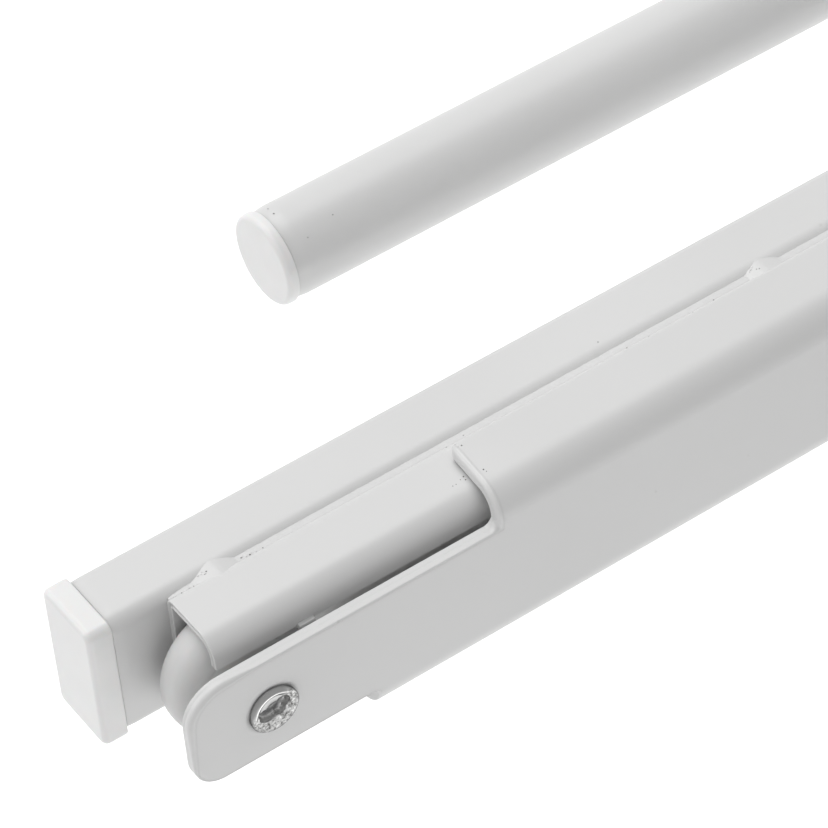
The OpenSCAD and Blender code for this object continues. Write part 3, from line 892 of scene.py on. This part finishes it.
def runTree(tree, mesh, values):      # the evaluated result as a plain mesh
    holder = link("holder", mesh)
    mod = holder.modifiers.new("nodes", "NODES")
    mod.node_group = tree
    for item in tree.interface.items_tree:
        if item.in_out == "INPUT" and item.name in values:
            mod[item.identifier] = values[item.name]
    holder.update_tag()
    bpy.context.view_layer.update()
    graph = bpy.context.evaluated_depsgraph_get()
    done = bpy.data.meshes.new_from_object(holder.evaluated_get(graph))
    holder.modifiers.clear()
    bpy.data.objects.remove(holder)
    return done


def beadTree():      # a weld bead along each line of the mesh that goes in
    tree, given = nodeTree("weldBeads", Width="Float", Height="Float", Sharpness="Float", Step="Float",
                           Ripple="Float", Seed="Float")

    def made(kind, inputs=None, **settings):
        return addNode(tree, kind, inputs, **settings).outputs[0]

    def maths(operation, *values):
        return mathNode(tree, operation, *values)

    line = made("GeometryNodeMeshToCurve", {0: given["Geometry"]})
    even = made("GeometryNodeResampleCurve", {"Curve": line, "Length": given["Step"]}, mode="LENGTH")
    upright = made("GeometryNodeSetCurveNormal", {"Curve": even}, mode="Z_UP")
    off = maths("ABSOLUTE", maths("SUBTRACT", maths("MULTIPLY", made("GeometryNodeSplineParameter"), 2), 1))
    bulge = maths("POWER", off, given["Sharpness"])
    ends = maths("SQRT", maths("MAXIMUM", maths("SUBTRACT", 1, bulge), 0.02))
    circle = made("GeometryNodeCurvePrimitiveCircle", {"Resolution": 24, "Radius": 1.0})
    size = made("ShaderNodeCombineXYZ", {"X": given["Width"], "Y": given["Height"]})
    oval = made("GeometryNodeTransform", {"Geometry": circle, "Scale": size})
    swept = made("GeometryNodeCurveToMesh", {"Curve": upright, "Profile Curve": oval, "Scale": ends,
                                             "Fill Caps": True})
    grain = made("ShaderNodeTexNoise", {"W": given["Seed"], "Scale": 900.0, "Detail": 2.0},
                 noise_dimensions="4D")
    rise = maths("MULTIPLY", maths("SUBTRACT", grain, 0.5), given["Ripple"])
    push = made("ShaderNodeVectorMath", {0: made("GeometryNodeInputNormal"), "Scale": rise}, operation="SCALE")
    return finishTree(tree, given, made("GeometryNodeSetPosition", {"Geometry": swept, "Offset": push}))


def scatterTree():      # small round drops on the points that go in
    tree, given = nodeTree("drops", Smallest="Float", Largest="Float", Flatness="Float", Seed="Int")
    ball = addNode(tree, "GeometryNodeMeshIcoSphere", {"Radius": 1, "Subdivisions": 2})
    chance = addNode(tree, "FunctionNodeRandomValue", data_type="FLOAT")
    limits = {socket.name: socket for socket in chance.inputs if socket.enabled}
    for source, target in (("Smallest", "Min"), ("Largest", "Max"), ("Seed", "Seed")):
        tree.links.new(given[source], limits[target])
    value = next(socket for socket in chance.outputs if socket.enabled)
    low = mathNode(tree, "MULTIPLY", value, given["Flatness"])
    size = addNode(tree, "ShaderNodeCombineXYZ", {"X": value, "Y": value, "Z": low})
    place = addNode(tree, "GeometryNodeInstanceOnPoints", {
        "Points": given["Geometry"], "Instance": ball.outputs["Mesh"], "Scale": size.outputs[0]})
    return finishTree(tree, given, place.outputs[0])


def rowTree():      # one rod or cap repeated across the rack
    tree, given = nodeTree("rodRow", Count="Int", Pitch="Float")
    step = addNode(tree, "ShaderNodeCombineXYZ", {"X": given["Pitch"]})
    line = addNode(tree, "GeometryNodeMeshLine", {"Count": given["Count"], "Offset": step.outputs[0]})
    place = addNode(tree, "GeometryNodeInstanceOnPoints", {
        "Points": line.outputs[0], "Instance": given["Geometry"]})
    return finishTree(tree, given, place.outputs[0])


def makeRow(bm, name, material, slotName, nodes):
    settle(bm)
    mesh = toMesh(bm, name)
    pitch = (rodCentres[-1] - rodCentres[0])/(len(rodCentres) - 1)/1000
    row = runTree(rowTree(), mesh, {"Count": len(rodCentres), "Pitch": pitch, "Finish": material})
    finishPiece(row, name, material, "rack", slotName, nodes)


weld = {
    "first": 11.0, "length": 9.2, "pitch": 86.4, "footShift": 30, "ripple": 0.12,
    # how deep a seam weld lies at a distance from either end
    "dip": ((0, 1.1), (1.5, 0.62), (2.7, 0.28), (3.8, 0.07), (4.6, 0)),
    "fillPlace": -0.2, "fillSink": 1.0, "fillShort": 0.4, "seamSink": 0.5,
    "footUp": 0.25, "barOut": 0.1, "barShort": 2.0, "ringOut": 0.15,      # where the other beads' middles lie
    # half width, half height, sharpness of the ends, step and seed of each kind of bead; fill is the paint that
    # lies in the valley between tube and rail
    "fill": (1.15, 0.5, 40, 0.6, 2.0), "seam": (5, 0.5, 12, 0.2, 3.0), "foot": (1.05, 1.05, 7, 0.25, 5.0),
    "bar": (1.1, 1.1, 7, 0.25, 7.0), "ring": (0.9, 0.9, 60, 0.5, 11.0),
}


def seamStarts():
    starts, y = [], weld["first"]
    while y < tubeLength - 20:
        starts.append(y)
        y += weld["pitch"]
    return starts


def weldHeight(x, y):
    # surface of the valley between the side tube and the rack rail, with its paint and seam welds
    corner = tubeShape["weldedCorner"] if x < 0 else rackRail["innerBend"]
    off = max(0, corner - abs(x))
    metal = math.sqrt(max(0, corner*corner - off*off)) - corner
    wide, tall = weld["fill"][:2]
    across = (x - weld["fillPlace"])/wide
    best = max(metal, -weld["fillSink"] + tall*math.sqrt(max(0, 1 - across*across)))
    wide, tall = weld["seam"][:2]
    for start in seamStarts():
        off = min(y - start, start + weld["length"] - y)
        if off > 0:
            best = max(best, tall*math.sqrt(1 - (x/wide)**2) - weld["seamSink"] - between(weld["dip"], off))
    return best


def mirrored(points):      # the same places on the left side of the rack
    return [(-2*zero.x - x, y, z) for x, y, z in points]


def pointsMesh(points, lines=()):      # points are local mm
    mesh = bpy.data.meshes.new("points")
    mesh.from_pydata([tuple((Vector(p) + zero)/1000) for p in points], lines, [])
    return mesh


def makeBeads(name, kind, paths):
    points, lines = [], []
    for path in paths:
        lines += [(len(points) + i, len(points) + i + 1) for i in range(len(path) - 1)]
        points += path
    wide, tall, sharpness, step, seed = weld[kind]
    values = {"Width": wide/1000, "Height": tall/1000, "Sharpness": sharpness, "Step": step/1000,
              "Ripple": weld["ripple"]/1000, "Seed": seed, "Finish": tubePaint}
    mesh = runTree(beadTree(), pointsMesh(points, lines), values)
    finishPiece(mesh, name, tubePaint, "rack", "tube_paint", [], False)


def makeWelds():
    c = weld
    rail = localBox("rack_rail_right")[0]
    starts, length = seamStarts(), c["length"]
    foot, inner = rail.z + c["footUp"], tubeLow.x - tubeHigh.x - c["barOut"]
    seams, bars = [], []
    for y in starts:
        half = [(off, -c["seamSink"] - deep) for off, deep in c["dip"]]
        whole = half + [(length - off, z) for off, z in reversed(half)]
        seams.append([(0, y + off, z) for off, z in whole])
    for node in ("front_crossbar", "rear_crossbar"):
        low, high = localBox(node)
        for y in (low.y - c["barOut"], high.y + c["barOut"]):
            bars.append([(inner, y, low.z + c["barShort"]), (inner, y, high.z - c["barShort"])])
    ends = (rail.y + c["fillShort"], tubeLength - c["fillShort"])
    fill = [[(c["fillPlace"], y, -c["fillSink"]) for y in ends]]
    feet = [[(0, y + c["footShift"] + off, foot) for off in (0, length)] for y in starts[:-1]]
    for name, kind, paths in (("seamPaint", "fill", fill), ("seamWelds", "seam", seams),
                              ("footWelds", "foot", feet), ("barWelds", "bar", bars)):
        makeBeads(name, kind, paths + [mirrored(path) for path in paths])
    rings = [rodRing(x, rodRadius + c["ringOut"], y, 48)
             for x in rodCentres for y in (barLow.y, barHigh.y, rodHigh.y)]
    makeBeads("rodWelds", "ring", [ring + ring[:1] for ring in rings])


spatter = {
    "perWeld": 7, "pinsPerWeld": 3, "smallest": 0.09, "largest": 0.19, "pinSmallest": 0.06, "pinLargest": 0.12,
    "bumpFlat": 0.6, "pinFlat": 0.25, "seed": 4,
    # round the start of a seam weld, across and along: middle and spread of the bumps, limits of the pinholes
    "bumpAcross": (-0.5, 0.45), "bumpAlong": (-0.3, 0.7), "pinAcross": (-0.9, 0.9), "pinAlong": (-20, 30),
    # bumps and pinholes that the photo shows, in mm from the side tube's front top corner
    "bumps": ((-0.75, 13.3), (-0.55, 13.7), (-0.35, 14.1), (-0.8, 13.9), (-0.9, 100.3), (-1.1, 100.7),
              (-0.7, 100.0), (0.3, 89.3), (0.25, 9.2), (0.35, 10.7), (0.2, 11.4), (0.3, 12.5), (-0.1, 19.4),
              (0.15, 19.9), (0.05, 20.7), (0.25, 21.3)),
    "pins": ((-0.5, 14.4), (0.3, 12.0), (0.35, 10.2), (0.0, 19.2), (0.2, 20.4), (0.25, 22.3), (0.7, 89.5),
             (0.8, 82.2), (0.5, 93.1), (0.5, 78.9), (-2.4, 76.4), (-0.4, 100.9), (-0.2, 101.2), (0.3, 50.3),
             (6.8, 46.7), (6.8, 47.2), (6.5, 48.1), (6.9, 48.6), (6.3, 48.7)),
    "flangePins": ((3.6, 50.5), (2.3, 51.7), (8.7, 50.2), (9.2, 50.3)),
    # mm along the tube and degrees round the rod
    "rodPins": ((59.1, 109), (59.0, 95), (60.9, 47), (65.7, 57)),
}


def makeSpatter():
    c = spatter
    chance = random.Random(c["seed"])
    bumps = [(x, y, weldHeight(x, y) - 0.01) for x, y in c["bumps"]]
    pins = [(x, y, weldHeight(x, y) + 0.01) for x, y in c["pins"]]
    for start in seamStarts()[2:]:
        for k in range(c["perWeld"]):
            x, y = chance.gauss(*c["bumpAcross"]), start + chance.gauss(*c["bumpAlong"])
            bumps.append((x, y, weldHeight(x, y) - 0.02))
        for k in range(c["pinsPerWeld"]):
            x, y = chance.uniform(*c["pinAcross"]), start + chance.uniform(*c["pinAlong"])
            pins.append((x, y, weldHeight(x, y) + 0.01))
    for y, degrees in c["rodPins"]:
        a = math.radians(degrees)
        pins.append((rodCentres[-1] + rodRadius*math.cos(a), y, rodZ + rodRadius*math.sin(a)))
    flangeTop = localBox("cabinet_rail_right")[1].z
    railPins = [(x, y, flangeTop + 0.01) for x, y in c["flangePins"]]
    bumpSize = (c["smallest"], c["largest"], c["bumpFlat"])
    pinSize = (c["pinSmallest"], c["pinLargest"], c["pinFlat"])
    # the pinholes are dark discs whose colour is painted shade for the inside of the holes
    for name, places, (small, large, flat), material, body, slotName in (
            ("spatter", bumps, bumpSize, tubePaint, "rack", "tube_paint"),
            ("pinholes", pins, pinSize, pinholeShade, "rack", "tube_paint"),
            ("railPinholes", railPins, pinSize, pinholeShade, "cabinet", "rail_paint")):
        values = {"Smallest": small/1000, "Largest": large/1000, "Flatness": flat, "Seed": c["seed"],
                  "Finish": material}
        mesh = runTree(scatterTree(), pointsMesh(places + mirrored(places)), values)
        finishPiece(mesh, name, material, body, slotName, [], False)


makeRow(rodMesh(rodCentres[0]), "hangerRods", tubePaint, "tube_paint", rodNodes)
makeRow(rodCapMesh(rodCentres[0]), "rodCaps", capPlastic, "cap_plastic", capNodes)
print("rods made:", len(rodCentres))
makeWelds()
makeSpatter()
print("welds and spatter made")


roller = {"crown": 3.3, "bore": 3.05, "recess": 5.3, "recessDepth": 1.3, "edge": 0.25, "grooveRadius": 7.0,
          "grooveDepth": 0.12, "segments": 96}
rivet = {
    "head": 4.7, "headThick": 0.95, "journal": 3.0, "collar": 4.0, "shank": 2.7, "neck": 3.0, "flare": 3.55,
    "flareThick": 0.85, "play": 0.2, "roughness": 0.13, "smoothInset": 0.22, "segments": 144,
    "hollowDeep": 1.05, "hollowEdge": (0.55, 0.14),      # its edge's drop on the smooth and on the rough side
    # the end was spun over unevenly: a smooth rim stands up on one side, the other side is a rough flat
    "smoothSide": 112, "smoothSpan": 66, "smoothFade": 20,
    # the hollow's edge: degrees from the rear, anticlockwise seen from outside, and its distance in mm
    "hollow": ((0, 1.6), (17, 2.3), (38, 2.45), (52, 2.2), (66, 1.3), (90, 1.0), (119, 0.95), (150, 1.25),
               (168, 2.45), (191, 2.4), (212, 2.05), (237, 1.45), (278, 1.0), (314, 1.45), (360, 1.6)),
    # smooth side, from the rim in to the hollow: radius, drop, darkening (tarnish with painted shade and a
    # painted dark reflection)
    "smooth": ((3.4, 0.76, 0.7), (3.39, 0.66, 0.66), (3.35, 0.52, 0.6), (3.24, 0.32, 0.6), (3.08, 0.14, 0.6),
               (2.92, 0.04, 0.62), (2.86, 0.02, 0), (2.78, 0, 0), (2.7, 0.01, 0.1), (2.62, 0.2, 0.95),
               (2.5, 0.29, 1.0), (2.24, 0.32, 1.0), (2.17, 0.33, 0.25), (1.8, 0.38, 0.12), (1.25, 0.46, 0.3),
               (1.12, 0.5, 0.9)),
    # rough side: share of the way, drop, darkening (tarnish with painted shade)
    "rough": ((0, 0.2, 0.95), (0.04, 0.12, 0.85), (0.1, 0.06, 0.5), (0.18, 0.05, 0.2),
              *((share, 0.05, 0.1) for share in (0.28, 0.36, 0.42, 0.48, 0.54, 0.6, 0.66, 0.74)),
              (0.82, 0.05, 0.12), (0.88, 0.06, 0.12), (0.94, 0.08, 0.15), (0.98, 0.12, 0.35)),
    # the hollow: share of its edge's distance, share of its depth, darkening (tarnish with painted shade)
    "pit": ((1.0, 0.05, 0.6), (0.985, 0.12, 0.35), (0.97, 0.2, 0.1), (0.93, 0.5, 0.1), (0.87, 0.85, 0.3),
            (0.77, 0.97, 0.7), (0.5, 0.99, 0.85), (0.25, 1.0, 0.8)),
}


def rollerMesh(node, recessOut):      # recessOut is +1 where the recess for the head faces +X
    c = roller
    low, high = localBox(node)
    half, R = (high.x - low.x)/2, (high.z - low.z)/2
    mid, (y0, z0) = (low.x + high.x)/2, middle(low, high)
    groove, inside = c["grooveRadius"], half - c["recessDepth"]
    path = filletPath([
        (c["bore"], -half, 0.2), (groove - 0.5, -half, 0.1), (groove - 0.25, -half + c["grooveDepth"], 0.1),
        (groove, -half, 0.1), (R, -half, c["crown"]), (R, half, c["crown"]), (c["recess"], half, c["edge"]),
        (c["recess"], inside, 0.2), (c["bore"], inside, 0.2)], step=10)
    return turnedMesh([(p.x, mid + recessOut*p.y) for p in path], c["segments"], True,
                      lambda across, up, x: (x, y0 + across, z0 + up))


def smoothShare(degrees):      # 1 on the smooth side of the spun end, 0 on the rough side
    off = abs((degrees - rivet["smoothSide"] + 180) % 360 - 180)
    span, fade = rivet["smoothSpan"], rivet["smoothFade"]
    return 1 - smoothStep(span - fade, span + fade, off)


def rivetMesh(node, rollerNode, out):      # out is +1 where the flared end faces +X
    c = rivet
    low, high = localBox(node)
    centre = middle(low, high)
    length = high.x - low.x
    start = low.x if out > 0 else high.x
    web = length - c["flareThick"]      # outer face of the sheet
    rollLow, rollHigh = localBox(rollerNode)
    sheetEnd = web - (cabinetRail if out > 0 else rackRail)["sheet"]
    journalEnd = c["headThick"] + (rollHigh.x - rollLow.x) - roller["recessDepth"] + 2*c["play"]
    corners = [
        (0, 0, 0), (c["head"], 0, 0.3), (c["head"], c["headThick"], 0.2), (c["journal"], c["headThick"], 0.1),
        (c["journal"], journalEnd, 0.1), (c["collar"], journalEnd, 0.15), (c["collar"], sheetEnd, 0.1),
        (c["shank"], sheetEnd, 0.05), (c["shank"], web - 0.02, 0.05), (c["flare"] - 0.1, web - 0.02, 0.03),
        (c["flare"] - 0.03, web + 0.05, 0.03)]
    bm = bmesh.new()
    tarnishAndShade, pitted = bm.verts.layers.float.new("tarnishAndShade"), bm.verts.layers.float.new("pitted")
    rings = []

    def pole(x):
        vert = bm.verts.new((start + out*x, *centre))
        rings.append([vert]*c["segments"])
        return vert

    # the darkening that place gives is tarnish together with painted shade and a painted dark reflection
    def ring(place):      # place gives radius, distance from the head, roughness and tarnish at an angle
        points = []
        for a in angles(c["segments"]):
            degrees = math.degrees(a)
            r, x, pits, dark = place(smoothShare(degrees), between(c["hollow"], degrees))
            y, z = centre[0] + r*math.cos(a), centre[1] + r*math.sin(a)
            if pits:
                x += c["roughness"]*pits*noise.fractal(Vector((x*0.5, y, z))*2.3, 0.7, 2.0, 4)
            vert = bm.verts.new((start + out*min(x, length), y, z))
            vert[tarnishAndShade], vert[pitted] = dark, min(1, pits)
            points.append(vert)
        rings.append(points)

    pole(0)
    for r, x in filletPath(corners, closed=False, step=15)[1:]:
        inward = c["smoothInset"] if r > c["neck"] and x > web - 0.1 else 0
        # the flank above the web gets a painted dark reflection with tarnish
        ring(lambda mix, reach: (r - inward*mix, x, 0, 0.3 if x < web else 0.65))
    for (radius, dropA, darkA), (share, dropB, darkB) in zip(c["smooth"], c["rough"]):
        ring(lambda mix, reach: (
            max(radius*mix + (c["flare"] + (reach - c["flare"])*share)*(1 - mix), reach),
            length - dropA*mix - dropB*(1 - mix), (1 - mix)*min(1, share*6), darkA*mix + darkB*(1 - mix)))
    # the hollow is darkened with painted shade and tarnish
    for share, deep, dark in c["pit"]:
        def place(mix, reach):
            edge = c["hollowEdge"][0]*mix + c["hollowEdge"][1]*(1 - mix)
            return reach*share, length - edge - (c["hollowDeep"] - edge)*deep, 0.3, dark
        ring(place)
    pole(length - c["hollowDeep"])[tarnishAndShade] = 0.5
    joinRings(bm, rings)
    return bm


for end, body, rollerOut, rivetOut in (("front", "cabinet", -1, 1), ("rear", "rack", 1, -1)):
    wheel = end + "_roller_right"
    makePair(lambda: rollerMesh(wheel, rollerOut), end + "Roller", rollerNylon, end + "_wheel_{}",
             "roller_plastic", end + "_roller", sharp=40)
    makePair(lambda: rivetMesh(end + "_axle_right", wheel, rivetOut), end + "Rivet", rivetSteel, body,
             "rivet_steel", end + "_axle", weigh=False, sharp=38)
print("rollers and rivets made")
